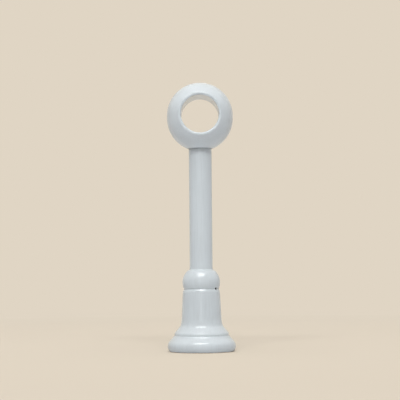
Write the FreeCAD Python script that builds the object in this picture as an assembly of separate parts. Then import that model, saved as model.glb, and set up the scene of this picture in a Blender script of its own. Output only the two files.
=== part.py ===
import FreeCAD, Part
import math
import os

# Curtain pole bracket of turned, white lacquered wood, on a steel wall plate.
# It stands on the face that meets the wall: z = 0 is the wall and +Z points into the room.
# The pole lies along Y, through the ball. All sizes are in millimetres.

# Pole and ball
POLE_DIA = 28.0            # pole that the ball takes
POLE_PLAY = 1.0            # room round the pole, on the radius
POLE_HEIGHT = 188.0        # from the wall to the pole's axis
BALL_WALL = 11.4           # wood between the pole's bore and the ball's skin
BALL_BAND = 2.0            # straight band that makes the ball longer than it is wide
RIM_ROUND = 1.4            # rounding at both mouths of the bore

# Arm
ARM_DIA = 18.2
ARM_TO_BORE = 4.0          # wood left between the arm's end and the pole's bore
ARM_SEAT = 30.0            # depth of the arm's socket in the base
ARM_CHAMFER = 1.0          # chamfer on both ends of the arm
GLUE_GAP = 0.05            # glue film, on the radius, round the arm and the insert

# Bead at the top of the base
COVE_ROUND = 1.6           # radius of the small cove between the bead and the arm
COVE_LIP = 0.15            # thin edge where that cove ends against the arm
BEAD_BULGE = 4.15          # how far the bead swells past the cove
BEAD_RISE = 9.0            # height of the bead above its widest ring
BEAD_FALL = 5.2            # height of the bead below its widest ring
BEAD_TUCK = 0.9            # how far the bead draws in below its widest ring

# Turned groove between the bead and the bell
GROOVE_TOP = 0.25          # height of the groove's upper flank
GROOVE_LOW = 1.7           # height of the groove's lower flank
GROOVE_DEPTH = 0.4         # depth of the groove below the bead's edge

# Small chip knocked out of that groove
CHIP_SIZE = 1.8            # across its mouth
CHIP_BITE = 0.5            # how far it reaches below the groove's floor
CHIP_TURN = 53.0           # degrees round from the near side, towards +X

# Bell of the base
BELL_WALL = 5.5            # wood outside the arm at the top of the bell
BELL_TAPER = 1.3           # how much wider the bell is where its flare starts
BELL_RISE = 22.8           # height of the bell above its flare
BELL_LEAN = 6.8            # degrees by which the bell leans in where its flare starts
FLARE_RISE = 10.2          # height of the hollow flare
LIP_ROUND = 2.6            # radius of the lip that ends the flare
LIP_ANGLE = 37.0           # degrees of that rounding, from the upright face
LIP_FACE = 1.0             # upright face under the lip

# Flange at the wall
FLANGE_RISE = 12.6         # height of the step between the lip and the flange
FLANGE_OUT = 4.66          # how far the flange swells past its own shoulder
FLANGE_WAIST = 4.3         # height at which the flange is widest
SHOULDER_ROUND = 0.7       # rounding of that shoulder
SHOULDER_ANGLE = 30.0      # degrees above the level at which the rounding starts
LEDGE = 0.06               # flat ring between the rounding and the lip
FOOT_BULGE = 6.5           # radius of the flange's lower edge
FOOT_BREAK = 0.5           # height of the small break above the wall
FOOT_WALL = 6.6            # wood outside the wall plate

# Steel wall plate with its pressed dish
PLATE_DIA = 40.0
PLATE_THICK = 1.2
PLATE_GAP = 0.5            # room round the plate, on the radius
PLATE_LEDGE = 2.2          # width of the ring on which the base sits on the plate
PLATE_EDGE = 0.3           # blanked edge's rounding
SEAT_CHAMFER = 0.5         # chamfer at the mouth of the plate's seat
DISH_DIA = 17.0            # inside of the dish, at its floor
DISH_DEPTH = 4.0           # from the wall face to the dish's floor
DISH_BEND = 0.8            # inside radius of both bends of the sheet
DISH_GAP = 0.3             # room between the dish and the insert's flange
WALL_SCREW_SPACING = 27.0
WALL_SCREW_HOLE = 4.5
DIMPLE_DIA = 6.0           # pressed seat round each wall screw's hole
DIMPLE_DEPTH = 0.5

# Centre screw, M6 with a pan head and a cross recess
SCREW_DIA = 6.0
SCREW_LENGTH = 16.0        # under the head
SCREW_TIP = 0.8            # chamfer at the screw's tip
SCREW_HOLE_GAP = 0.2       # room round the screw in the plate, on the radius
HEAD_DIA = 11.0
HEAD_RISE = 3.4
HEAD_FLAT = 5.4            # flat in the middle of the head
HEAD_RIM = 1.2             # upright rim of the head
RECESS_SPAN = 5.0          # across the cross, at the head's face
RECESS_WIDTH = 1.3         # of each slot
RECESS_DEPTH = 2.0
RECESS_TAPER = 0.45        # span at the cross's floor, as a share of that at its mouth

# Threaded insert of the base
THREAD_GAP = 0.05          # room between the screw and the insert, on the radius
INSERT_WALL = 1.95         # wall of the insert
INSERT_FLANGE_OUT = 1.8    # how far the insert's flange stands out
INSERT_FLANGE = 1.2        # thickness of that flange
INSERT_LENGTH = 13.0
INSERT_MOUTH = 0.6         # chamfer at the insert's mouth
TIP_ROOM = 4.0             # hole above the screw's tip

# Sizes that follow
ARM_R = ARM_DIA / 2
BORE_R = POLE_DIA / 2 + POLE_PLAY
BALL_R = BORE_R + BALL_WALL
ARM_TOP = POLE_HEIGHT - BORE_R - ARM_TO_BORE

PLATE_R = PLATE_DIA / 2
SEAT_R = PLATE_R + PLATE_GAP
FLANGE_R = SEAT_R + FOOT_WALL
SHOULDER_R = FLANGE_R - FLANGE_OUT
LEDGE_R = SHOULDER_R - SHOULDER_ROUND
LIP_R = LEDGE_R - LEDGE
LIP_BASE = FLANGE_RISE + LIP_FACE
LIP_TOP_R = LIP_R - LIP_ROUND * (1 - math.cos(math.radians(LIP_ANGLE)))
LIP_TOP = LIP_BASE + LIP_ROUND * math.sin(math.radians(LIP_ANGLE))
BELL_R = ARM_R + BELL_WALL
BELL_FOOT_R = BELL_R + BELL_TAPER
BELL_BASE = LIP_TOP + FLARE_RISE
BELL_TOP = BELL_BASE + BELL_RISE
GROOVE_FLOOR = BELL_TOP + GROOVE_LOW
BEAD_BASE = GROOVE_FLOOR + GROOVE_TOP
BEAD_MIDDLE = BEAD_BASE + BEAD_FALL
BEAD_TOP = BEAD_MIDDLE + BEAD_RISE
COVE_TOP = BEAD_TOP + COVE_ROUND
COVE_TOP_R = ARM_R + COVE_LIP
COVE_R = COVE_TOP_R + COVE_ROUND
BEAD_R = COVE_R + BEAD_BULGE
BEAD_BASE_R = BEAD_R - BEAD_TUCK
GROOVE_R = BEAD_BASE_R - GROOVE_DEPTH
ARM_FOOT = BEAD_TOP - ARM_SEAT

SCREW_R = SCREW_DIA / 2
INSERT_BORE_R = SCREW_R + THREAD_GAP
INSERT_R = INSERT_BORE_R + INSERT_WALL
INSERT_FLANGE_R = INSERT_R + INSERT_FLANGE_OUT
INSERT_BASE = DISH_DEPTH + PLATE_THICK + DISH_GAP
HOLLOW_TOP = INSERT_BASE + INSERT_FLANGE
HOLLOW_R = PLATE_R - PLATE_LEDGE
SCREW_TOP = DISH_DEPTH + SCREW_LENGTH
TIP_HOLE_TOP = SCREW_TOP + TIP_ROOM

ORIGIN = FreeCAD.Vector(0, 0, 0)
UP = FreeCAD.Vector(0, 0, 1)
ALONG_POLE = FreeCAD.Vector(0, 1, 0)
TURN = 360.0


def at(radius, height):
    """Profile point at a distance from the turning axis and a height above the wall."""
    return FreeCAD.Vector(radius, 0, height)


def along(angle, length):
    """Step of a length in a direction; angles in degrees, 0 outwards and 90 upwards."""
    turn = math.radians(angle)
    return at(length * math.cos(turn), length * math.sin(turn))


def line(start, end):
    """Straight edge between two points."""
    return Part.LineSegment(start, end).toShape()


def arc(centre, radius, start_angle, end_angle):
    """Profile arc about a centre, with its angles as in along()."""
    angles = (start_angle, (start_angle + end_angle) / 2, end_angle)
    return Part.Arc(*(centre + along(angle, radius) for angle in angles)).toShape()


def curve(*poles):
    """Bezier edge on its poles."""
    bezier = Part.BezierCurve()
    bezier.setPoles(list(poles))
    return bezier.toShape()


def outline(points):
    """Straight edges through the points and back to the first one."""
    return [line(a, b) for a, b in zip(points, points[1:] + points[:1])]


def turned(edges):
    """Solid turned about the Z axis from a closed profile."""
    return Part.Face(Part.Wire(edges)).revolve(ORIGIN, UP, TURN)


def rod(radius, low, high):
    """Upright cylinder on the turning axis."""
    return Part.makeCylinder(radius, high - low, at(0, low), UP)


def ball_head():
    """Ball with the pole's bore across it and the arm's socket below."""
    upper = at(0, POLE_HEIGHT)
    lower = at(0, POLE_HEIGHT - BALL_BAND)
    ball = turned([
        arc(lower, BALL_R, -90, 0),
        line(lower + at(BALL_R, 0), upper + at(BALL_R, 0)),
        arc(upper, BALL_R, 0, 90),
        line(upper + at(0, BALL_R), lower - at(0, BALL_R)),
    ])
    start = upper - ALONG_POLE * (2 * BALL_R)
    bored = ball.cut(Part.makeCylinder(BORE_R, 4 * BALL_R, start, ALONG_POLE))
    rounded = bored.makeFillet(RIM_ROUND, bore_rims(bored))
    return rounded.cut(rod(ARM_R + GLUE_GAP, POLE_HEIGHT - 2 * BALL_R, ARM_TOP))


def bore_rims(bored):
    """Edges where the pole's bore meets the ball's skin."""
    axis = at(0, POLE_HEIGHT)

    def on_rim(edge):
        middle = edge.valueAt((edge.FirstParameter + edge.LastParameter) / 2)
        off_axis = math.hypot(middle.x, middle.z - axis.z)
        return abs(middle.y) > BORE_R / 2 and abs(off_axis - BORE_R) < RIM_ROUND / 10

    return [edge for edge in bored.Edges if on_rim(edge)]


def arm():
    """Round arm, glued into the ball and into the base."""
    foot = ARM_FOOT
    inner_r = ARM_R - ARM_CHAMFER
    return turned(outline([
        at(0, foot),
        at(inner_r, foot),
        at(ARM_R, foot + ARM_CHAMFER),
        at(ARM_R, ARM_TOP - ARM_CHAMFER),
        at(inner_r, ARM_TOP),
        at(0, ARM_TOP),
    ]))


def flange_edges():
    """Profile of the flange, from the wall up to the lip's upright face."""
    bulge = at(FLANGE_R - FOOT_BULGE, FLANGE_WAIST)
    break_angle = math.degrees(math.asin((FLANGE_WAIST - FOOT_BREAK) / FOOT_BULGE))
    break_r = bulge.x + FOOT_BULGE * math.cos(math.radians(break_angle))
    waist = at(FLANGE_R, FLANGE_WAIST)
    rounding = at(LEDGE_R, FLANGE_RISE - SHOULDER_ROUND)
    shoulder = rounding + along(SHOULDER_ANGLE, SHOULDER_ROUND)
    drop = shoulder.z - FLANGE_WAIST
    waist_handle = waist + at(0, 0.5 * drop)
    shoulder_handle = shoulder + along(SHOULDER_ANGLE - 90, 0.43 * drop)
    return [
        line(at(break_r - FOOT_BREAK, 0), at(break_r, FOOT_BREAK)),
        arc(bulge, FOOT_BULGE, -break_angle, 0),
        curve(waist, waist_handle, shoulder_handle, shoulder),
        arc(rounding, SHOULDER_ROUND, SHOULDER_ANGLE, 90),
        line(at(LEDGE_R, FLANGE_RISE), at(LIP_R, FLANGE_RISE)),
    ]


def bell_edges():
    """Profile of the lip, the flare and the bell, up to the groove."""
    lip_top = at(LIP_TOP_R, LIP_TOP)
    flare_top = at(BELL_FOOT_R, BELL_BASE)
    return [
        line(at(LIP_R, FLANGE_RISE), at(LIP_R, LIP_BASE)),
        arc(at(LIP_R - LIP_ROUND, LIP_BASE), LIP_ROUND, 0, LIP_ANGLE),
        curve(
            lip_top,
            lip_top + along(90 + LIP_ANGLE, 0.63 * FLARE_RISE),
            flare_top - along(90 + BELL_LEAN, 0.6 * FLARE_RISE),
            flare_top,
        ),
        curve(
            flare_top,
            flare_top + along(90 + BELL_LEAN, 0.1 * BELL_RISE),
            at(BELL_R + 0.4 * BELL_TAPER, BELL_TOP - 0.07 * BELL_RISE),
            at(BELL_R, BELL_TOP),
        ),
        line(at(BELL_R, BELL_TOP), at(GROOVE_R, GROOVE_FLOOR)),
        line(at(GROOVE_R, GROOVE_FLOOR), at(BEAD_BASE_R, BEAD_BASE)),
    ]


def bead_edges():
    """Profile of the bead and its cove, from the groove up to the arm."""
    middle = at(BEAD_R, BEAD_MIDDLE)
    top = at(COVE_R, BEAD_TOP)
    return [
        curve(
            at(BEAD_BASE_R, BEAD_BASE),
            at(BEAD_BASE_R + 0.55 * BEAD_TUCK, BEAD_BASE + 0.3 * BEAD_FALL),
            middle - at(0, 0.4 * BEAD_FALL),
            middle,
        ),
        curve(
            middle,
            middle + at(0, 0.57 * BEAD_RISE),
            top + at(0.05 * BEAD_BULGE, 0),
            top,
        ),
        arc(top + at(0, COVE_ROUND), COVE_ROUND, -90, -180),
        line(at(COVE_TOP_R, COVE_TOP), at(0, COVE_TOP)),
    ]


def base():
    """Turned base with the arm's socket above and the wall plate's seat below."""
    edges = flange_edges() + bell_edges() + bead_edges()
    foot = edges[0].valueAt(edges[0].FirstParameter)
    body = turned(edges + [line(at(0, COVE_TOP), ORIGIN), line(ORIGIN, foot)])
    seat_mouth = Part.makeCone(SEAT_R + SEAT_CHAMFER, SEAT_R, SEAT_CHAMFER)
    hollows = [
        rod(ARM_R + GLUE_GAP, ARM_FOOT, COVE_TOP),
        seat_mouth,
        rod(SEAT_R, 0, PLATE_THICK),
        rod(HOLLOW_R, 0, HOLLOW_TOP),
        rod(INSERT_R + GLUE_GAP, 0, INSERT_BASE + INSERT_LENGTH),
        rod(SCREW_R + SCREW_HOLE_GAP, 0, TIP_HOLE_TOP),
    ]
    return body.cut(hollows[0].multiFuse(hollows[1:])).cut(chip())


def chip():
    """Uneven pit with five flat sides, cut into the groove between the bead and the bell."""
    corners = [(1.0, 0.1), (0.35, 0.8), (-0.6, 0.7), (-0.95, -0.2), (0.1, -0.9)]

    def ring(out, share):
        half = CHIP_SIZE / 2 * share
        return Part.makePolygon([
            FreeCAD.Vector(out, across * half, GROOVE_FLOOR + up * half)
            for across, up in corners + corners[:1]
        ])

    pit = Part.makeLoft([ring(GROOVE_R - CHIP_BITE, 0.5), ring(BEAD_R, 1.8)], True, True)
    pit.rotate(ORIGIN, UP, CHIP_TURN - 90)
    return pit


def plate_section():
    """Closed profile of the sheet, from the screw's hole out to the plate's rim."""
    hole_r = SCREW_R + SCREW_HOLE_GAP
    outer_bend = DISH_BEND + PLATE_THICK
    dish_r = DISH_DIA / 2
    wall_r = dish_r + PLATE_THICK
    top = DISH_DEPTH + PLATE_THICK
    floor_bend = at(dish_r - DISH_BEND, DISH_DEPTH - DISH_BEND)
    mouth_bend = at(wall_r + DISH_BEND, outer_bend)
    edge = at(PLATE_R - PLATE_EDGE, PLATE_EDGE)
    return [
        line(at(hole_r, top), at(hole_r, DISH_DEPTH)),
        line(at(hole_r, DISH_DEPTH), floor_bend + at(0, DISH_BEND)),
        arc(floor_bend, DISH_BEND, 90, 0),
        line(floor_bend + at(DISH_BEND, 0), at(dish_r, mouth_bend.z)),
        arc(mouth_bend, outer_bend, 180, 270),
        line(at(mouth_bend.x, 0), at(edge.x, 0)),
        arc(edge, PLATE_EDGE, -90, 0),
        line(at(PLATE_R, edge.z), at(PLATE_R, PLATE_THICK)),
        line(at(PLATE_R, PLATE_THICK), at(mouth_bend.x, PLATE_THICK)),
        arc(mouth_bend, DISH_BEND, 270, 180),
        line(at(wall_r, mouth_bend.z), at(wall_r, floor_bend.z)),
        arc(floor_bend, outer_bend, 0, 90),
        line(at(floor_bend.x, top), at(hole_r, top)),
    ]


def dimple(radius, base_height):
    """Pressed cone round a wall screw's hole, on the turning axis."""
    return Part.makeCone(
        radius, radius - DIMPLE_DEPTH, DIMPLE_DEPTH, at(0, base_height), UP
    )


def wall_plate():
    """Round steel plate with the centre screw's dish and two wall screw holes."""
    plate = turned(plate_section())
    for side in (-1, 1):
        place = FreeCAD.Vector(side * WALL_SCREW_SPACING / 2, 0, 0)
        raised = dimple(DIMPLE_DIA / 2, PLATE_THICK)
        sunk = dimple(DIMPLE_DIA / 2, 0)
        hole = rod(WALL_SCREW_HOLE / 2, 0, PLATE_THICK + DIMPLE_DEPTH)
        for shape in (raised, sunk, hole):
            shape.translate(place)
        plate = plate.fuse(raised).cut(sunk).cut(hole)
    return plate.removeSplitter()


def cross_slot(angle):
    """One tapered slot of the cross recess, cut upwards from the head's face."""

    def ring(span, height):
        half = span / 2
        side = RECESS_WIDTH / 2
        corners = [(-half, -side), (half, -side), (half, side), (-half, side)]
        return Part.makePolygon([
            FreeCAD.Vector(x, y, height) for x, y in corners + corners[:1]
        ])

    face = DISH_DEPTH - HEAD_RISE
    mouth = ring(RECESS_SPAN, face)
    floor = ring(RECESS_SPAN * RECESS_TAPER, face + RECESS_DEPTH)
    slot = Part.makeLoft([mouth, floor], True, True)
    slot.rotate(ORIGIN, UP, angle)
    return slot


def centre_screw():
    """Machine screw whose head lies in the plate's dish and faces the wall."""
    face = DISH_DEPTH - HEAD_RISE
    rim = at(HEAD_DIA / 2, DISH_DEPTH - HEAD_RIM)
    flat = at(HEAD_FLAT / 2, face)
    body = turned([
        line(at(0, face), flat),
        curve(flat, at((flat.x + rim.x) / 2, face), at(rim.x, (face + rim.z) / 2), rim),
        line(rim, at(rim.x, DISH_DEPTH)),
        line(at(rim.x, DISH_DEPTH), at(SCREW_R, DISH_DEPTH)),
        line(at(SCREW_R, DISH_DEPTH), at(SCREW_R, SCREW_TOP - SCREW_TIP)),
        line(at(SCREW_R, SCREW_TOP - SCREW_TIP), at(SCREW_R - SCREW_TIP, SCREW_TOP)),
        line(at(SCREW_R - SCREW_TIP, SCREW_TOP), at(0, SCREW_TOP)),
        line(at(0, SCREW_TOP), at(0, face)),
    ])
    return body.cut(cross_slot(0).fuse(cross_slot(90)))


def threaded_insert():
    """Flanged steel insert in the base, which the centre screw holds."""
    shoulder = INSERT_BASE + INSERT_FLANGE
    top = INSERT_BASE + INSERT_LENGTH
    return turned(outline([
        at(INSERT_BORE_R + INSERT_MOUTH, INSERT_BASE),
        at(INSERT_FLANGE_R, INSERT_BASE),
        at(INSERT_FLANGE_R, shoulder),
        at(INSERT_R, shoulder),
        at(INSERT_R, top),
        at(INSERT_BORE_R, top),
        at(INSERT_BORE_R, INSERT_BASE + INSERT_MOUTH),
    ]))


PARTS = {
    "ball_head": ball_head,
    "arm": arm,
    "base": base,
    "wall_plate": wall_plate,
    "centre_screw": centre_screw,
    "threaded_insert": threaded_insert,
}

os.makedirs("parts", exist_ok=True)
for name, make in PARTS.items():
    shape = make()
    shape.exportStep(f"parts/{name}.step")
    print(f"{name}: valid {shape.isValid()}, {len(shape.Solids)} solid, {shape.Volume:.0f} mm3")
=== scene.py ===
"""Curtain pole bracket of turned, white lacquered beech: its finishes, light and camera."""
import logging
import math
from collections.abc import Callable
from dataclasses import dataclass
from enum import Enum

import bpy
from mathutils import Matrix, Vector


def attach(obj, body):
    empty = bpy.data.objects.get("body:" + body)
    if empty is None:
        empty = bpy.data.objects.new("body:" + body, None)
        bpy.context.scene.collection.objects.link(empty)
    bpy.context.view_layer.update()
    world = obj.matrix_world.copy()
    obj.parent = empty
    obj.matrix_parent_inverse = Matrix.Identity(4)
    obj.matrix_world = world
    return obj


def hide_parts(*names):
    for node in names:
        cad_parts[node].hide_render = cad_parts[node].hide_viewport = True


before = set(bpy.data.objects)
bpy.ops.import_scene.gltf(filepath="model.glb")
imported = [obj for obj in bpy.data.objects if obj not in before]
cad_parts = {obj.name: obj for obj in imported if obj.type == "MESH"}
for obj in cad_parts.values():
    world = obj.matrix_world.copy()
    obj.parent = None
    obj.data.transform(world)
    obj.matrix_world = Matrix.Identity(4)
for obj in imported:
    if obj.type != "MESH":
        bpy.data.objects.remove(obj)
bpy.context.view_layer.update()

MM = 0.001
PLAY_MM = 0.01                    # within which a vertex counts as on a plane
SEAM_MM = 0.001                   # within which the turns of a thread are one
WAVE_RADIANS = 20                 # turned by Blender's wave texture in a metre at a scale of one
SHARP_DEGREES = 32                # edges that bend by more stay sharp
log = logging.getLogger("bracket")


def linear(colour: str) -> tuple[float, float, float, float]:
    """Turns an sRGB hex colour to the linear values that a shader takes.

    Args:
        colour: six hex digits after a hash sign.

    Returns:
        Red, green, blue and an alpha of 1.
    """
    channels = [int(colour[i:i + 2], 16) / 255 for i in (1, 3, 5)]
    red, green, blue = (c / 12.92 if c <= 0.04045 else ((c + 0.055) / 1.055) ** 2.4 for c in channels)
    return red, green, blue, 1.0


def add_node(tree: bpy.types.NodeTree, kind: str, settings: dict | None = None,
             links: dict | None = None) -> bpy.types.Node:
    """Adds one node with its settings and links.

    Args:
        tree: node tree that takes the node.
        kind: Blender's name for the kind of node.
        settings: values for its options, by name, and for its inputs, by name or number.
        links: output sockets that feed its inputs, by name or number.

    Returns:
        The new node.
    """
    node = tree.nodes.new(kind)
    for key, value in (settings or {}).items():
        if isinstance(key, str) and key in node.bl_rna.properties:
            setattr(node, key, value)
        else:
            node.inputs[key].default_value = value
    for key, socket in (links or {}).items():
        tree.links.new(socket, node.inputs[key])
    return node


def new_material(name: str) -> tuple[bpy.types.Material, bpy.types.NodeTree, bpy.types.Node]:
    """Makes an empty material with its output node.

    Args:
        name: plain name of the finish.

    Returns:
        The material, its node tree and its output node.
    """
    material = bpy.data.materials.new(name)
    material.use_nodes = True
    tree = material.node_tree
    tree.nodes.clear()
    return material, tree, add_node(tree, "ShaderNodeOutputMaterial")


def wave_scale(length_mm: float) -> float:
    """Gives the scale at which Blender's wave texture repeats once in a length.

    Args:
        length_mm: length of one wave.

    Returns:
        The texture's scale.
    """
    return math.tau / (WAVE_RADIANS * length_mm * MM)


def streak_scale(across_mm: float, along_mm: float) -> tuple[float, float, float]:
    """Gives the scale at which a texture makes streaks that run along the turned pieces.

    Args:
        across_mm: width of a streak.
        along_mm: length of a streak.

    Returns:
        The scale for each axis.
    """
    return 1 / (across_mm * MM), 1 / (across_mm * MM), 1 / (along_mm * MM)


class Piece(Enum):
    """The solids of the bracket, by the names that the CAD model gives them."""

    BALL_HEAD = "ball_head"
    ARM = "arm"
    BASE = "base"
    WALL_PLATE = "wall_plate"
    CENTRE_SCREW = "centre_screw"
    THREADED_INSERT = "threaded_insert"


@dataclass(frozen=True)
class GlossLacquer:
    """White cellulose lacquer, sprayed in several coats on turned beech.

    The eye sees a cool white with a soft shine. The coats level out with a faint orange peel, and the
    beech's grain and the fine rings of the gouge still show through them as a light ripple.
    """

    name: str = "white_gloss_lacquer"
    colour: str = "#DAE2E6"
    thin_colour: str = "#D0D7DA"      # where the coats are thinner, over the grain
    roughness: float = 0.15
    peel_mm: float = 1.6              # across one cell of the orange peel
    peel_depth_mm: float = 0.002
    grain_mm: float = 0.8             # across the grain's streaks, coarser than real to show
    grain_length_mm: float = 22.0
    grain_depth_mm: float = 0.002
    ring_mm: float = 0.9              # between the gouge's rings, coarser than real to show
    ring_depth_mm: float = 0.001
    thin_from: float = 0.42           # level of the grain from which the coats thin
    thin_full: float = 0.75           # and at which they are thinnest
    thin_share: float = 0.55          # how much of the thin colour shows there
    cloud_mm: float = 30.0            # slow change of the coats' thickness
    cloud_levels: tuple[float, float] = (0.3, 0.7)    # levels of the cloud that are darkest and brightest
    cloud_dark: float = 0.97          # how much it dims the lacquer
    cloud_bright: float = 1.02        # and brightens it
    ior: float = 1.5
    joint_shade_colour: str = "#848B90"     # painted shade in the crease where the arm enters the ball, for the ball's shadow on the arm
    joint_radius_mm: float = 9.3
    joint_height_mm: float = 162.05
    joint_core_mm: float = 0.2        # reach of its full colour
    joint_width_mm: float = 1.9       # reach of its soft edge

    def build(self) -> bpy.types.Material:
        """Makes the lacquer's material.

        Returns:
            The material.
        """
        material, tree, output = new_material(self.name)
        shader = self.coat(tree)
        tree.links.new(shader.outputs["BSDF"], output.inputs["Surface"])
        return material

    def joint(self, tree: bpy.types.NodeTree, place: bpy.types.NodeSocket) -> bpy.types.NodeSocket:
        """Adds the mask of the painted shade where the arm enters the ball: a dark ring on ball and arm that
        stands in for the ball's shadow in the crease.

        Args:
            tree: node tree of the material.
            place: the surface's place on the bracket.

        Returns:
            A socket that is 1 where the painted shade is full and 0 away from the joint.
        """
        axes = add_node(tree, "ShaderNodeSeparateXYZ", None, {0: place})
        level = add_node(tree, "ShaderNodeCombineXYZ", None, {"X": axes.outputs["X"], "Y": axes.outputs["Y"]})
        radius = add_node(tree, "ShaderNodeVectorMath", {"operation": "LENGTH"}, {0: level.outputs[0]})
        out = add_node(tree, "ShaderNodeMath", {"operation": "SUBTRACT", 1: self.joint_radius_mm * MM},
                       {0: radius.outputs["Value"]})
        up = add_node(tree, "ShaderNodeMath", {"operation": "SUBTRACT", 1: self.joint_height_mm * MM},
                      {0: axes.outputs["Z"]})
        away = add_node(tree, "ShaderNodeCombineXYZ", None, {"X": out.outputs[0], "Y": up.outputs[0]})
        gap = add_node(tree, "ShaderNodeVectorMath", {"operation": "LENGTH"}, {0: away.outputs[0]})
        mask = add_node(tree, "ShaderNodeMapRange", {
            "interpolation_type": "SMOOTHSTEP",
            1: self.joint_core_mm * MM, 2: self.joint_width_mm * MM, 3: 1.0, 4: 0.0,
        }, {0: gap.outputs["Value"]})
        return mask.outputs[0]

    def coat(self, tree: bpy.types.NodeTree) -> bpy.types.Node:
        """Adds the lacquer's shader with its peel, grain and rings.

        Args:
            tree: node tree of the material.

        Returns:
            The shader node.
        """
        place = add_node(tree, "ShaderNodeTexCoord").outputs["Object"]
        along = add_node(tree, "ShaderNodeMapping", {
            "Scale": streak_scale(self.grain_mm, self.grain_length_mm)}, {"Vector": place})
        grain = add_node(tree, "ShaderNodeTexNoise", {"Scale": 1.0, "Detail": 2.0},
                         {"Vector": along.outputs["Vector"]})
        peel = add_node(tree, "ShaderNodeTexNoise", {"Scale": 1 / (self.peel_mm * MM), "Detail": 1.0},
                        {"Vector": place})
        flat = add_node(tree, "ShaderNodeMapping", {"Scale": (0.0, 0.0, 1 / (self.ring_mm * MM))},
                        {"Vector": place})
        rings = add_node(tree, "ShaderNodeTexNoise", {"Scale": 1.0, "Detail": 1.0},
                         {"Vector": flat.outputs["Vector"]})
        cloud = add_node(tree, "ShaderNodeTexNoise", {"Scale": 1 / (self.cloud_mm * MM), "Detail": 2.0},
                         {"Vector": place})
        normal = None
        for source, depth_mm in ((peel, self.peel_depth_mm), (grain, self.grain_depth_mm),
                                 (rings, self.ring_depth_mm)):
            bump = add_node(tree, "ShaderNodeBump", {"Strength": 1.0, "Distance": depth_mm * MM},
                            {"Height": source.outputs[0]})
            if normal is not None:
                tree.links.new(normal, bump.inputs["Normal"])
            normal = bump.outputs["Normal"]
        thin = add_node(tree, "ShaderNodeMapRange", {
            1: self.thin_from, 2: self.thin_full, 3: 0.0, 4: self.thin_share}, {0: grain.outputs[0]})
        tint = add_node(tree, "ShaderNodeMix", {
            "data_type": "RGBA", 6: linear(self.colour), 7: linear(self.thin_colour)}, {0: thin.outputs[0]})
        slow = add_node(tree, "ShaderNodeMapRange", {
            1: self.cloud_levels[0], 2: self.cloud_levels[1], 3: self.cloud_dark, 4: self.cloud_bright},
            {0: cloud.outputs[0]})
        shade = add_node(tree, "ShaderNodeVectorMath", {"operation": "SCALE"},
                         {0: tint.outputs[2], 3: slow.outputs[0]})
        # painted shade: darkens the lacquer in the crease where the arm enters the ball, for the ball's
        # shadow
        shaded_joint = add_node(tree, "ShaderNodeMix", {"data_type": "RGBA", 7: linear(self.joint_shade_colour)},
                        {0: self.joint(tree, place), 6: shade.outputs[0]})
        return add_node(tree, "ShaderNodeBsdfPrincipled", {"Roughness": self.roughness, "IOR": self.ior},
                        {"Base Color": shaded_joint.outputs[2], "Normal": normal})


@dataclass(frozen=True)
class TurnedBeech:
    """Bare beech, turned and left unsealed where no one sees it.

    The eye sees a matt pinkish tan with growth rings, short dark flecks and the fine ridges of the tool.
    """

    colour: str = "#D6B08A"
    ring_colour: str = "#BE9268"      # late wood of each year
    fleck_colour: str = "#8C6444"
    roughness: float = 0.62
    pith_mm: tuple[float, float] = (34.0, 13.0)    # from the arm's axis to the middle of the tree
    year_mm: float = 2.3              # between growth rings
    year_waver: float = 1.6           # how far the rings leave true circles
    waver_scale: float = 0.6          # how fast they wander along them
    fleck_mm: float = 0.7             # across a fleck's cell, coarser than real to show
    fleck_length_mm: float = 4.0
    fleck_core: float = 0.12          # share of the cell that is darkest
    fleck_edge: float = 0.34          # share of the cell that the fleck fills
    fleck_share: float = 0.75         # how much of the fleck's colour shows
    ridge_mm: float = 0.8             # between the tool's ridges, coarser than real to show
    ridge_depth_mm: float = 0.03
    ior: float = 1.5

    def wood(self, tree: bpy.types.NodeTree, place: bpy.types.NodeSocket) -> bpy.types.Node:
        """Adds the bare wood's shader.

        Args:
            tree: node tree of the material.
            place: the surface's place on the bracket.

        Returns:
            The shader node.
        """
        tree_place = add_node(tree, "ShaderNodeMapping", {
            "Location": (self.pith_mm[0] * MM, self.pith_mm[1] * MM, 0.0)}, {"Vector": place})
        years = add_node(tree, "ShaderNodeTexWave", {
            "wave_type": "RINGS", "rings_direction": "Z", "wave_profile": "SAW",
            "Scale": wave_scale(self.year_mm), "Distortion": self.year_waver, "Detail": 2.0,
            "Detail Scale": self.waver_scale}, {"Vector": tree_place.outputs["Vector"]})
        stretch = add_node(tree, "ShaderNodeMapping", {
            "Scale": streak_scale(self.fleck_mm, self.fleck_length_mm)}, {"Vector": place})
        flecks = add_node(tree, "ShaderNodeTexVoronoi", {"Scale": 1.0}, {"Vector": stretch.outputs["Vector"]})
        pore = add_node(tree, "ShaderNodeMapRange", {
            1: self.fleck_core, 2: self.fleck_edge, 3: self.fleck_share, 4: 0.0},
            {0: flecks.outputs["Distance"]})
        colour = add_node(tree, "ShaderNodeMix", {
            "data_type": "RGBA", 6: linear(self.colour), 7: linear(self.ring_colour)}, {0: years.outputs[1]})
        spotted = add_node(tree, "ShaderNodeMix", {"data_type": "RGBA", 7: linear(self.fleck_colour)},
                           {0: pore.outputs[0], 6: colour.outputs[2]})
        ridges = add_node(tree, "ShaderNodeTexWave", {
            "wave_type": "RINGS", "rings_direction": "Z", "Scale": wave_scale(self.ridge_mm)},
            {"Vector": place})
        bump = add_node(tree, "ShaderNodeBump", {"Strength": 1.0, "Distance": self.ridge_depth_mm * MM},
                        {"Height": ridges.outputs[1]})
        return add_node(tree, "ShaderNodeBsdfPrincipled", {"Roughness": self.roughness, "IOR": self.ior},
                        {"Base Color": spotted.outputs[2], "Normal": bump.outputs["Normal"]})


@dataclass(frozen=True)
class DarkMark:
    """One soft oval of near-black colour, measured from the middle of the chip."""

    across_mm: float
    up_mm: float
    size: float          # as a share of the chip's size
    core: float          # share of the oval that has its full strength
    strength: float


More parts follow.
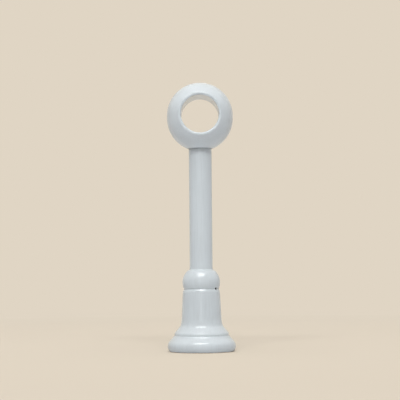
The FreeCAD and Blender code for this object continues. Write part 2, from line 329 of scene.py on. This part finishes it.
@dataclass(frozen=True)
class LacqueredBase:
    """Finish of the base: lacquer outside, bare beech in its hollow, and one small chip.

    The spray gun doesn't reach the hollow behind the wall plate. The chip in the groove is painted near-black
    with a soft edge; where that edge spreads along the groove beside the chip it is painted shade under the
    bead.
    """

    lacquer: GlossLacquer
    beech: TurnedBeech
    name: str = "white_gloss_lacquer_over_beech"
    hollow_radius_mm: float = 21.05
    hollow_height_mm: float = 13.0
    hole_radius_mm: float = 6.0
    chip_place_mm: tuple[float, float, float] = (11.14, -8.07, 49.95)
    chip_turn: float = 53.0           # degrees from the near side
    chip_size_mm: tuple[float, float, float] = (1.35, 2.2, 1.05)
    # near-black painted in the chip; where it spreads along the groove it is painted shade under the bead
    chip_colour: str = "#101318"
    chip_roughness: float = 0.8
    chip_ior: float = 1.4
    chip_spot: DarkMark = DarkMark(0.0, 0.0, 1.0, 0.62, 1.0)
    chip_tail: DarkMark = DarkMark(0.7, -0.8, 0.8, 0.2, 0.55)
    foot_mm: float = 0.35             # overspray that reaches round the foot's edge
    mist_mm: float = 2.5              # across one cloud of the overspray
    rim_inner_mm: float = 25.0        # where the overspray starts on the foot's face
    rim_outer_mm: float = 26.6        # and where it is thickest
    rim_bare: float = 0.25            # how much wood still shows there

    def bare(self, tree: bpy.types.NodeTree, place: bpy.types.NodeSocket) -> bpy.types.NodeSocket:
        """Adds the mask of the wood that has no lacquer.

        Args:
            tree: node tree of the material.
            place: the surface's place on the bracket.

        Returns:
            A socket that is 1 on bare wood.
        """
        axes = add_node(tree, "ShaderNodeSeparateXYZ", None, {0: place})
        level = add_node(tree, "ShaderNodeCombineXYZ", None, {"X": axes.outputs["X"], "Y": axes.outputs["Y"]})
        radius = add_node(tree, "ShaderNodeVectorMath", {"operation": "LENGTH"}, {0: level.outputs[0]})
        within = add_node(tree, "ShaderNodeMath", {"operation": "LESS_THAN", 1: self.hollow_radius_mm * MM},
                          {0: radius.outputs["Value"]})
        below = add_node(tree, "ShaderNodeMath", {"operation": "LESS_THAN", 1: self.hollow_height_mm * MM},
                         {0: axes.outputs["Z"]})
        hollow = add_node(tree, "ShaderNodeMath", {"operation": "MULTIPLY"},
                          {0: within.outputs[0], 1: below.outputs[0]})
        hole = add_node(tree, "ShaderNodeMath", {"operation": "LESS_THAN", 1: self.hole_radius_mm * MM},
                        {0: radius.outputs["Value"]})
        mist = add_node(tree, "ShaderNodeTexNoise", {"Scale": 1 / (self.mist_mm * MM), "Detail": 2.0},
                        {"Vector": place})
        reach = add_node(tree, "ShaderNodeMath", {"operation": "MULTIPLY", 1: 2 * self.foot_mm * MM},
                         {0: mist.outputs[0]})
        face = add_node(tree, "ShaderNodeMath", {"operation": "LESS_THAN"},
                        {0: axes.outputs["Z"], 1: reach.outputs[0]})
        rim = add_node(tree, "ShaderNodeMapRange", {
            1: self.rim_inner_mm * MM, 2: self.rim_outer_mm * MM, 3: 1.0, 4: self.rim_bare},
            {0: radius.outputs["Value"]})
        foot = add_node(tree, "ShaderNodeMath", {"operation": "MULTIPLY"},
                        {0: face.outputs[0], 1: rim.outputs[0]})
        inside = add_node(tree, "ShaderNodeMath", {"operation": "MAXIMUM"},
                          {0: hollow.outputs[0], 1: hole.outputs[0]})
        return add_node(tree, "ShaderNodeMath", {"operation": "MAXIMUM"},
                        {0: inside.outputs[0], 1: foot.outputs[0]}).outputs[0]

    def chip(self, tree: bpy.types.NodeTree, place: bpy.types.NodeSocket) -> bpy.types.NodeSocket:
        """Adds the mask of the near-black colour in the chip, with a short dark tail that runs out of it. Its
        spread along the groove is partly painted shade under the bead.

        Args:
            tree: node tree of the material.
            place: the surface's place on the bracket.

        Returns:
            A socket that is 1 in the chip.
        """
        turn = math.radians(self.chip_turn)
        east, north, high = self.chip_place_mm
        masks = []
        for mark in (self.chip_spot, self.chip_tail):
            spot = add_node(tree, "ShaderNodeMapping", {
                "vector_type": "TEXTURE",
                "Location": ((east + mark.across_mm * math.cos(turn)) * MM,
                             (north + mark.across_mm * math.sin(turn)) * MM,
                             (high + mark.up_mm) * MM),
                "Rotation": (0.0, 0.0, turn),
                "Scale": tuple(length * mark.size * MM for length in self.chip_size_mm)}, {"Vector": place})
            away = add_node(tree, "ShaderNodeVectorMath", {"operation": "LENGTH"},
                            {0: spot.outputs["Vector"]})
            masks.append(add_node(tree, "ShaderNodeMapRange", {
                "interpolation_type": "SMOOTHSTEP", 1: mark.core, 2: 1.0, 3: mark.strength, 4: 0.0,
            }, {0: away.outputs["Value"]}))
        return add_node(tree, "ShaderNodeMath", {"operation": "MAXIMUM"},
                        {0: masks[0].outputs[0], 1: masks[1].outputs[0]}).outputs[0]

    def build(self) -> bpy.types.Material:
        """Makes the base's material.

        Returns:
            The material.
        """
        material, tree, output = new_material(self.name)
        place = add_node(tree, "ShaderNodeTexCoord").outputs["Object"]
        lacquer = self.lacquer.coat(tree)
        wood = self.beech.wood(tree, place)
        # near-black in the chip, partly painted shade under the bead's edge
        chip_dark = add_node(tree, "ShaderNodeBsdfPrincipled", {
            "Base Color": linear(self.chip_colour), "Roughness": self.chip_roughness, "IOR": self.chip_ior})
        chipped = add_node(tree, "ShaderNodeMixShader", None,
                           {0: self.chip(tree, place), 1: lacquer.outputs[0], 2: chip_dark.outputs[0]})
        mix = add_node(tree, "ShaderNodeMixShader", None,
                       {0: self.bare(tree, place), 1: chipped.outputs[0], 2: wood.outputs[0]})
        tree.links.new(mix.outputs[0], output.inputs["Surface"])
        return material


@dataclass(frozen=True)
class ZincPlating:
    """Electroplated zinc on steel, under a thin passivation.

    The eye sees a cold metal with soft reflections, clouds of blue, a touch of straw yellow where the
    passivation is thicker, fine rings from the press or the lathe, and a burnished line at each edge.
    """

    name: str
    colour: str                       # the plating where the passivation is thin
    cloud_colour: str                 # where it is thicker
    straw_colour: str = "#CBC6A8"
    worn_colour: str = "#D9DDDF"      # where edges are rubbed bright
    roughness: float = 0.3
    worn_roughness: float = 0.16
    cloud_mm: float = 7.0
    cloud_waver: float = 0.6
    cloud_levels: tuple[float, float] = (0.35, 0.65)    # between which the cloud's colour comes in
    straw_clouds: float = 2.2         # how many times larger a straw cloud is
    straw_levels: tuple[float, float] = (0.56, 0.72)    # between which the straw colour comes in
    straw_share: float = 0.5          # how much of it shows
    ring_mm: float = 0.6              # between the tool's rings, coarser than real to show
    ring_waver: float = 0.4
    ring_depth_mm: float = 0.003
    grit_mm: float = 0.35             # coarser than real to show
    grit_depth_mm: float = 0.003
    edge_mm: float = 0.5              # reach of the burnished line
    edge_levels: tuple[float, float] = (0.97, 0.86)    # match of the normals where it starts and is full
    edge_share: float = 0.85          # how much of the worn colour shows

    def build(self) -> bpy.types.Material:
        """Makes the plating's material.

        Returns:
            The material.
        """
        material, tree, output = new_material(self.name)
        place = add_node(tree, "ShaderNodeTexCoord").outputs["Object"]
        cloud = add_node(tree, "ShaderNodeTexNoise", {
            "Scale": 1 / (self.cloud_mm * MM), "Detail": 3.0, "Distortion": self.cloud_waver},
            {"Vector": place})
        streak = add_node(tree, "ShaderNodeTexNoise", {
            "Scale": 1 / (self.straw_clouds * self.cloud_mm * MM), "Detail": 2.0}, {"Vector": place})
        spread = add_node(tree, "ShaderNodeMapRange", {1: self.cloud_levels[0], 2: self.cloud_levels[1]},
                          {0: cloud.outputs[0]})
        straw = add_node(tree, "ShaderNodeMapRange", {
            1: self.straw_levels[0], 2: self.straw_levels[1], 3: 0.0, 4: self.straw_share},
            {0: streak.outputs[0]})
        tint = add_node(tree, "ShaderNodeMix", {
            "data_type": "RGBA", 6: linear(self.colour), 7: linear(self.cloud_colour)},
            {0: spread.outputs[0]})
        warm = add_node(tree, "ShaderNodeMix", {"data_type": "RGBA", 7: linear(self.straw_colour)},
                        {0: straw.outputs[0], 6: tint.outputs[2]})
        worn = self.worn(tree)
        bright = add_node(tree, "ShaderNodeMix", {"data_type": "RGBA", 7: linear(self.worn_colour)},
                          {0: worn, 6: warm.outputs[2]})
        gloss = add_node(tree, "ShaderNodeMapRange", {3: self.roughness, 4: self.worn_roughness}, {0: worn})
        rings = add_node(tree, "ShaderNodeTexWave", {
            "wave_type": "RINGS", "rings_direction": "Z", "Scale": wave_scale(self.ring_mm),
            "Distortion": self.ring_waver}, {"Vector": place})
        grit = add_node(tree, "ShaderNodeTexNoise", {
            "Scale": 1 / (self.grit_mm * MM), "Detail": 2.0}, {"Vector": place})
        lathe = add_node(tree, "ShaderNodeBump", {"Strength": 1.0, "Distance": self.ring_depth_mm * MM},
                         {"Height": rings.outputs[1]})
        bump = add_node(tree, "ShaderNodeBump", {"Strength": 1.0, "Distance": self.grit_depth_mm * MM},
                        {"Height": grit.outputs[0], "Normal": lathe.outputs["Normal"]})
        shader = add_node(tree, "ShaderNodeBsdfPrincipled", {"Metallic": 1.0},
                          {"Base Color": bright.outputs[2], "Roughness": gloss.outputs[0],
                           "Normal": bump.outputs["Normal"]})
        tree.links.new(shader.outputs["BSDF"], output.inputs["Surface"])
        return material

    def worn(self, tree: bpy.types.NodeTree) -> bpy.types.NodeSocket:
        """Adds the mask of the edges, from how far a rounded normal leaves the true one.

        Args:
            tree: node tree of the material.

        Returns:
            A socket that is 1 on edges.
        """
        rounded = add_node(tree, "ShaderNodeBevel", {"samples": 4, "Radius": self.edge_mm * MM})
        true = add_node(tree, "ShaderNodeNewGeometry")
        match = add_node(tree, "ShaderNodeVectorMath", {"operation": "DOT_PRODUCT"},
                         {0: rounded.outputs["Normal"], 1: true.outputs["Normal"]})
        edge = add_node(tree, "ShaderNodeMapRange", {
            1: self.edge_levels[0], 2: self.edge_levels[1], 3: 0.0, 4: self.edge_share},
            {0: match.outputs["Value"]})
        return edge.outputs[0]


@dataclass(frozen=True)
class Viewpoint:
    """Camera that repeats the photograph's view of the bracket."""

    distance: float = 1.20586     # metres in front of the arm's axis
    offset: float = -0.00157      # metres right of that axis
    height: float = 0.07474       # metres above the wall face
    pitch: float = 2.175          # degrees up
    yaw: float = 0.052            # degrees to the right
    roll: float = -0.501          # degrees
    lens: float = 135.98          # millimetres
    sensor: float = 36.0          # millimetres across

    def build(self) -> bpy.types.Object:
        """Adds the camera and makes it the scene's own.

        Returns:
            The camera.
        """
        turn = (Matrix.Rotation(-math.radians(self.yaw), 4, "Z")
                @ Matrix.Rotation(math.radians(90 + self.pitch), 4, "X")
                @ Matrix.Rotation(math.radians(self.roll), 4, "Z"))
        place = (self.offset, -self.distance, self.height)
        bpy.ops.object.camera_add(location=place, rotation=turn.to_euler())
        camera = bpy.context.object
        camera.name = "viewpoint"
        camera.data.lens = self.lens
        camera.data.sensor_width = self.sensor
        bpy.context.scene.camera = camera
        return camera


@dataclass(frozen=True)
class SoftBox:
    """Rectangular soft box that faces the middle of the bracket."""

    name: str
    power: float                  # watts
    height: float                 # degrees above the horizon
    size: tuple[float, float]     # width and height in metres
    side: float = -4.0            # degrees from the front, towards +X
    distance: float = 2.2         # metres from the bracket
    aim: float = 0.1              # metres above the wall face, at the bracket's middle
    shades: bool = True           # whether it lights the paint's body
    shines: bool = True           # whether gloss reflects it

    def build(self) -> bpy.types.Object:
        """Adds the lamp.

        Returns:
            The lamp.
        """
        turn = (Matrix.Rotation(math.radians(self.side), 4, "Z")
                @ Matrix.Rotation(math.radians(90 - self.height), 4, "X"))
        place = Matrix.Translation((0, 0, self.aim)) @ turn @ Matrix.Translation((0, 0, self.distance))
        bpy.ops.object.light_add(type="AREA", location=place.to_translation(), rotation=turn.to_euler())
        lamp = bpy.context.object
        lamp.name = self.name
        lamp.data.shape = "RECTANGLE"
        lamp.data.size, lamp.data.size_y = self.size
        lamp.data.energy = self.power
        lamp.visible_diffuse = self.shades
        lamp.visible_glossy = self.shines
        return lamp


@dataclass(frozen=True)
class Studio:
    """Pale floor and background with four soft boxes in front and above, and a fill from behind."""

    floor_colour: str = "#D2D1D2"     # what the floor throws back at the bracket
    seen_colour: str = "#E6DAC8"      # the floor as the camera sees it
    back_colour: str = "#E0D5C4"      # behind the bracket, and the floor far away
    level_front: float = 0.79         # evens out the floor's light, in front of the bracket
    level_back: float = 1.055         # and behind it
    level_span: tuple[float, float] = (-0.45, 0.5)    # metres along Y between those two
    floor_radius: float = 14.0        # metres
    floor_sides: int = 96
    near: float = 0.30                # metres from the bracket at which the floor starts to fade out
    far: float = 0.80                 # metres at which it has
    key_power: float = 25.4           # watts, as for all the lamps; heights are in degrees
    key_height: float = 45.0
    key_size: tuple[float, float] = (1.5, 0.4)
    strip_power: float = 34.0
    strip_height: float = 59.0
    strip_size: tuple[float, float] = (1.5, 0.85)
    top_power: float = 28.0
    top_height: float = 82.0
    top_size: tuple[float, float] = (2.4, 2.0)
    front_power: float = 1.8
    front_height: float = 4.0
    front_size: tuple[float, float] = (0.2, 0.9)
    fill_front: float = 0.0           # strength of the sky's light from in front
    fill_back: float = 0.6            # and from behind

    def seen(self, tree: bpy.types.NodeTree) -> bpy.types.NodeSocket:
        """Adds the nodes that tell the rays which see the background from those that carry light.

        Args:
            tree: node tree of the floor or of the world.

        Returns:
            A socket that is 1 on camera, glossy and transmission rays.
        """
        ray = add_node(tree, "ShaderNodeLightPath")
        direct = add_node(tree, "ShaderNodeMath", {"operation": "MAXIMUM"},
                          {0: ray.outputs["Is Camera Ray"], 1: ray.outputs["Is Glossy Ray"]})
        through = add_node(tree, "ShaderNodeMath", {"operation": "MAXIMUM"},
                           {0: direct.outputs[0], 1: ray.outputs["Is Transmission Ray"]})
        return through.outputs[0]

    def floor(self) -> bpy.types.Object:
        """Adds the round, plain floor that the bracket stands on.

        It keeps the bracket's shadow, and blends into the background's colour far away, with no horizon.

        Returns:
            The floor.
        """
        deselect_all()
        bpy.ops.mesh.primitive_circle_add(vertices=self.floor_sides, radius=self.floor_radius,
                                          fill_type="NGON")
        floor = bpy.context.object
        floor.name = "floor"
        material, tree, output = new_material("matt_paper_floor")
        seen = self.seen(tree)
        place = add_node(tree, "ShaderNodeTexCoord").outputs["Object"]
        away = add_node(tree, "ShaderNodeVectorMath", {"operation": "LENGTH"}, {0: place}).outputs["Value"]
        blend = add_node(tree, "ShaderNodeMapRange",
                         {"interpolation_type": "SMOOTHSTEP", 1: self.near, 2: self.far}, {0: away})
        distant = add_node(tree, "ShaderNodeMath", {"operation": "MULTIPLY"}, {0: blend.outputs[0], 1: seen})
        axes = add_node(tree, "ShaderNodeSeparateXYZ", None, {0: place})
        even = add_node(tree, "ShaderNodeMapRange", {
            1: self.level_span[0], 2: self.level_span[1], 3: self.level_front, 4: self.level_back},
            {0: axes.outputs["Y"]})
        level = add_node(tree, "ShaderNodeVectorMath", {
            "operation": "SCALE", 0: linear(self.seen_colour)[:3]}, {"Scale": even.outputs[0]})
        colour = add_node(tree, "ShaderNodeMix", {"data_type": "RGBA", 6: linear(self.floor_colour)},
                          {0: seen, 7: level.outputs[0]})
        paper = add_node(tree, "ShaderNodeBsdfDiffuse", None, {"Color": colour.outputs[2]})
        back = add_node(tree, "ShaderNodeEmission", {"Color": linear(self.back_colour), "Strength": 1.0})
        mix = add_node(tree, "ShaderNodeMixShader", None,
                       {0: distant.outputs[0], 1: paper.outputs[0], 2: back.outputs[0]})
        tree.links.new(mix.outputs[0], output.inputs["Surface"])
        floor.data.materials.append(material)
        return floor

    def background(self) -> None:
        """Sets the fill light and the pale colour that stands behind the bracket."""
        world = bpy.data.worlds.new("studio")
        bpy.context.scene.world = world
        world.use_nodes = True
        tree = world.node_tree
        tree.nodes.clear()
        output = add_node(tree, "ShaderNodeOutputWorld")
        place = add_node(tree, "ShaderNodeTexCoord")
        axes = add_node(tree, "ShaderNodeSeparateXYZ", None, {0: place.outputs["Generated"]})
        level = add_node(tree, "ShaderNodeMapRange", {1: -1.0, 2: 1.0, 3: self.fill_front, 4: self.fill_back},
                         {0: axes.outputs["Y"]})
        fill = add_node(tree, "ShaderNodeBackground", {"Color": (1, 1, 1, 1)}, {"Strength": level.outputs[0]})
        back = add_node(tree, "ShaderNodeBackground", {"Color": linear(self.back_colour), "Strength": 1.0})
        mix = add_node(tree, "ShaderNodeMixShader", None,
                       {0: self.seen(tree), 1: fill.outputs[0], 2: back.outputs[0]})
        tree.links.new(mix.outputs[0], output.inputs["Surface"])

    def build(self) -> None:
        """Adds the floor, the background and the lamps."""
        self.floor()
        self.background()
        SoftBox("key_soft_box", self.key_power, self.key_height, self.key_size, shines=False).build()
        SoftBox("strip_soft_box", self.strip_power, self.strip_height, self.strip_size, shades=False).build()
        SoftBox("top_soft_box", self.top_power, self.top_height, self.top_size, shines=False).build()
        SoftBox("front_soft_box", self.front_power, self.front_height, self.front_size, shades=False).build()


@dataclass(frozen=True)
class TurnedWood:
    """Ball, arm and base, which share one lacquer."""

    lacquer: GlossLacquer = GlossLacquer()
    beech: TurnedBeech = TurnedBeech()

    def dress(self) -> None:
        """Gives the wooden pieces their finishes."""
        gloss = self.lacquer.build()
        cover(Piece.BALL_HEAD, gloss)
        cover(Piece.ARM, gloss)
        cover(Piece.BASE, LacqueredBase(self.lacquer, self.beech).build())


@dataclass(frozen=True)
class WallFixing:
    """Steel wall plate, centre screw and threaded insert."""

    plate: ZincPlating = ZincPlating("blue_zinc_sheet", "#B4CAD7", "#98B7CE", cloud_mm=5.0)
    screw: ZincPlating = ZincPlating("bright_zinc_screw", "#C4CDD3", "#A9B6C0", roughness=0.26, cloud_mm=3.0,
                                     ring_mm=0.45, edge_mm=0.25)
    insert: ZincPlating = ZincPlating("yellow_zinc_insert", "#D2C48E", "#BFA86C", straw_colour="#C9A58C",
                                      roughness=0.32, cloud_mm=4.0, ring_mm=0.5, edge_mm=0.3)

    def build(self) -> None:
        """Puts the threaded screw in place of its plain solid and gives the steel pieces their platings."""
        cover(Piece.WALL_PLATE, self.plate.build())
        cover(Piece.THREADED_INSERT, self.insert.build())
        screw_finish = self.screw.build()
        cover(Piece.CENTRE_SCREW, screw_finish)
        screw = ThreadedScrew().build()
        screw.data.materials.clear()
        screw.data.materials.append(screw_finish)
        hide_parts(Piece.CENTRE_SCREW.value)
        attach(screw, "root")
        log.info("%s: %s", screw.name, screw_finish.name)


@dataclass(frozen=True)
class ThreadedScrew:
    """M6 pan head screw with a cross recess and a rolled thread. Its head faces the wall."""

    name: str = "centre_screw_threaded"
    crest_mm: float = 3.0             # radius over the thread
    root_mm: float = 2.42             # radius at the thread's root
    pitch_mm: float = 1.0
    # Each step of one turn's outline: how far out, in thread depths, and up, in pitches
    outline: tuple[tuple[float, float], ...] = ((0, 0.1), (1, 0.36), (0, 0.08), (-1, 0.36), (0, 0.1))
    turn_steps: int = 40              # steps in each turn of the thread
    spare_turns: int = 4
    over_crest_mm: float = 0.06       # how far the raw thread passes the crest, the tip and the head's seat
    over_tip_mm: float = 0.5
    over_seat_mm: float = 0.6
    shank_sunk_mm: float = 0.4        # how far the trimmed shank starts inside the head
    shank_sides: int = 96
    head_mm: float = 5.5              # radius of the head
    head_sides: int = 72
    face_mm: float = 0.6              # height of the head's face above the wall
    seat_mm: float = 4.0              # height of the head's underside
    dome_mm: float = 2.1              # rounding of the head
    dome_steps: int = 8
    tip_mm: float = 20.0
    tip_chamfer_mm: float = 0.8
    recess_mm: tuple[float, float, float] = (5.0, 1.3, 2.0)    # span, width and depth of the cross
    recess_taper: tuple[float, float] = (0.45, 0.8)    # span and width at its floor, as shares
    recess_proud_mm: float = 0.3      # how far its cutters stand out of the head
    weld_mm: float = 0.01             # slivers narrower than this are closed up

    def build(self) -> bpy.types.Object:
        """Models the screw.

        Returns:
            The finished screw.
        """
        screw = self.head()
        for turn in (0.0, 90.0):
            combine(screw, self.cutter(turn), "DIFFERENCE")
        shank = self.thread()
        combine(shank, self.envelope(), "INTERSECT")
        combine(screw, shank, "UNION")
        with_vertices(screw, lambda co: True)
        bpy.ops.mesh.remove_doubles(threshold=self.weld_mm * MM)
        bpy.ops.mesh.dissolve_degenerate(threshold=self.weld_mm * MM)
        bpy.ops.object.mode_set(mode="OBJECT")
        screw.name = screw.data.name = self.name
        smooth(screw)
        return screw

    def head(self) -> bpy.types.Object:
        """Models the pan head.

        Returns:
            The head.
        """
        head = cylinder(self.head_mm, self.face_mm, self.seat_mm, self.head_sides)
        with_edges(head, lambda a, b: max(a.z, b.z) < (self.face_mm + PLAY_MM) * MM)
        bpy.ops.mesh.bevel(offset=self.dome_mm * MM, segments=self.dome_steps, profile=0.5, affect="EDGES")
        bpy.ops.object.mode_set(mode="OBJECT")
        return head

    def cutter(self, turn: float) -> bpy.types.Object:
        """Models what one tapered slot of the cross recess takes away.

        Args:
            turn: degrees about the screw's axis.

        Returns:
            The cutter.
        """
        span, width, depth = (size * MM for size in self.recess_mm)
        deselect_all()
        bpy.ops.mesh.primitive_cube_add(size=1.0, location=(0, 0, self.face_mm * MM + depth / 2))
        cutter = bpy.context.object
        cutter.scale = (span, width, depth)
        bpy.ops.object.transform_apply(location=True, rotation=True, scale=True)
        floor = self.face_mm * MM + depth
        with_vertices(cutter, lambda co: co.z > floor - PLAY_MM * MM)
        bpy.ops.transform.resize(value=(*self.recess_taper, 1.0), center_override=(0, 0, floor))
        with_vertices(cutter, lambda co: co.z < self.face_mm * MM + PLAY_MM * MM)
        proud = -self.recess_proud_mm * MM
        bpy.ops.mesh.extrude_region_move(TRANSFORM_OT_translate={"value": (0, 0, proud)})
        bpy.ops.object.mode_set(mode="OBJECT")
        cutter.rotation_euler = (0, 0, math.radians(turn))
        bpy.ops.object.transform_apply(location=True, rotation=True, scale=True)
        return cutter

    def thread(self) -> bpy.types.Object:
        """Models an overlong rod with the rolled thread.

        Returns:
            The rod, closed at both ends.
        """
        pitch, root = self.pitch_mm * MM, self.root_mm * MM
        depth = (self.crest_mm + self.over_crest_mm) * MM - root
        low, high = (self.seat_mm - self.over_seat_mm) * MM, (self.tip_mm + self.over_tip_mm) * MM
        deselect_all()
        bpy.ops.mesh.primitive_plane_add(size=pitch, location=(root, 0, low - pitch))
        rod = bpy.context.object
        bpy.ops.object.transform_apply(location=True, rotation=True, scale=True)
        with_vertices(rod, lambda co: True)
        bpy.ops.mesh.merge(type="CENTER")
        for out, up in self.outline:
            bpy.ops.mesh.extrude_region_move(TRANSFORM_OT_translate={"value": (out * depth, 0, up * pitch)})
        bpy.ops.object.mode_set(mode="OBJECT")
        winding = rod.modifiers.new("thread", "SCREW")
        winding.axis = "Z"
        winding.angle = math.tau
        winding.screw_offset = pitch
        winding.iterations = int((high - low) / pitch) + self.spare_turns
        winding.steps = winding.render_steps = self.turn_steps
        bpy.ops.object.modifier_apply(modifier=winding.name)
        with_vertices(rod, lambda co: True)
        bpy.ops.mesh.remove_doubles(threshold=SEAM_MM * MM)
        for height, side in ((low, -1), (high, 1)):
            bpy.ops.mesh.select_all(action="SELECT")
            bpy.ops.mesh.bisect(plane_co=(0, 0, height), plane_no=(0, 0, side),
                                use_fill=True, clear_outer=True)
        bpy.ops.mesh.select_all(action="SELECT")
        bpy.ops.mesh.normals_make_consistent(inside=False)
        bpy.ops.object.mode_set(mode="OBJECT")
        return rod

    def envelope(self) -> bpy.types.Object:
        """Models the plain shank with its chamfered tip, which the thread is trimmed to.

        Returns:
            The envelope.
        """
        shank = cylinder(self.crest_mm, self.seat_mm - self.shank_sunk_mm, self.tip_mm, self.shank_sides)
        with_edges(shank, lambda a, b: min(a.z, b.z) > (self.tip_mm - PLAY_MM) * MM)
        bpy.ops.mesh.bevel(offset=self.tip_chamfer_mm * MM, segments=1, affect="EDGES")
        bpy.ops.object.mode_set(mode="OBJECT")
        return shank


def deselect_all() -> None:
    """Deselects every object, so that an operator acts on the new piece alone."""
    bpy.ops.object.select_all(action="DESELECT")


def cylinder(radius_mm: float, low_mm: float, high_mm: float, sides: int) -> bpy.types.Object:
    """Adds an upright cylinder on the screw's axis, with its place in its mesh.

    Args:
        radius_mm: its radius.
        low_mm: height of its lower face.
        high_mm: height of its upper face.
        sides: how many sides it has.

    Returns:
        The cylinder.
    """
    deselect_all()
    bpy.ops.mesh.primitive_cylinder_add(vertices=sides, radius=radius_mm * MM, depth=(high_mm - low_mm) * MM,
                                        location=(0, 0, (low_mm + high_mm) / 2 * MM))
    bpy.ops.object.transform_apply(location=True, rotation=True, scale=True)
    return bpy.context.object


def with_vertices(piece: bpy.types.Object, test: Callable[[Vector], bool]) -> None:
    """Opens a piece in edit mode with some of its vertices selected.

    Args:
        piece: the piece, which is the active object.
        test: tells from a vertex's place whether it is selected.
    """
    if bpy.context.mode != "OBJECT":
        bpy.ops.object.mode_set(mode="OBJECT")
    deselect_all()
    piece.select_set(True)
    bpy.context.view_layer.objects.active = piece
    bpy.ops.object.mode_set(mode="EDIT")
    bpy.ops.mesh.select_mode(type="VERT")
    bpy.ops.mesh.select_all(action="DESELECT")
    bpy.ops.object.mode_set(mode="OBJECT")
    for vertex in piece.data.vertices:
        vertex.select = test(vertex.co)
    bpy.ops.object.mode_set(mode="EDIT")


def with_edges(piece: bpy.types.Object, test: Callable[[Vector, Vector], bool]) -> None:
    """Opens a piece in edit mode with some of its edges selected.

    Args:
        piece: the piece.
        test: tells from the places of an edge's two ends whether it is selected.
    """
    with_vertices(piece, lambda co: False)
    bpy.ops.mesh.select_mode(type="EDGE")
    bpy.ops.object.mode_set(mode="OBJECT")
    places = [vertex.co for vertex in piece.data.vertices]
    for edge in piece.data.edges:
        edge.select = test(places[edge.vertices[0]], places[edge.vertices[1]])
    bpy.ops.object.mode_set(mode="EDIT")


def combine(piece: bpy.types.Object, other: bpy.types.Object, operation: str) -> None:
    """Adds, cuts or intersects one closed mesh with another, and removes the other.

    Args:
        piece: the mesh that changes.
        other: the mesh that is used up.
        operation: UNION, DIFFERENCE or INTERSECT.
    """
    deselect_all()
    piece.select_set(True)
    bpy.context.view_layer.objects.active = piece
    boolean = piece.modifiers.new("combine", "BOOLEAN")
    boolean.operation = operation
    boolean.solver = "EXACT"
    boolean.object = other
    bpy.ops.object.modifier_apply(modifier=boolean.name)
    bpy.data.objects.remove(other, do_unlink=True)


def smooth(piece: bpy.types.Object) -> None:
    """Shades a piece smooth, apart from its sharp edges.

    Args:
        piece: the piece.
    """
    deselect_all()
    piece.select_set(True)
    bpy.context.view_layer.objects.active = piece
    bpy.ops.object.shade_smooth_by_angle(angle=math.radians(SHARP_DEGREES))


def cover(piece: Piece, material: bpy.types.Material) -> None:
    """Puts a material in every slot of a CAD solid.

    Args:
        piece: the solid.
        material: its finish.
    """
    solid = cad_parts[piece.value]
    if not solid.material_slots:
        solid.data.materials.append(material)
    for slot in solid.material_slots:
        slot.material = material
    log.info("%s: %s", piece.value, material.name)


def main() -> None:
    """Builds the camera, the studio and the dressed bracket in order."""
    logging.basicConfig(level=logging.INFO, format="%(name)s: %(message)s")
    bpy.context.scene.view_settings.view_transform = "Standard"
    Viewpoint().build()
    Studio().build()
    TurnedWood().dress()
    WallFixing().build()


if __name__ == "__main__":
    main()
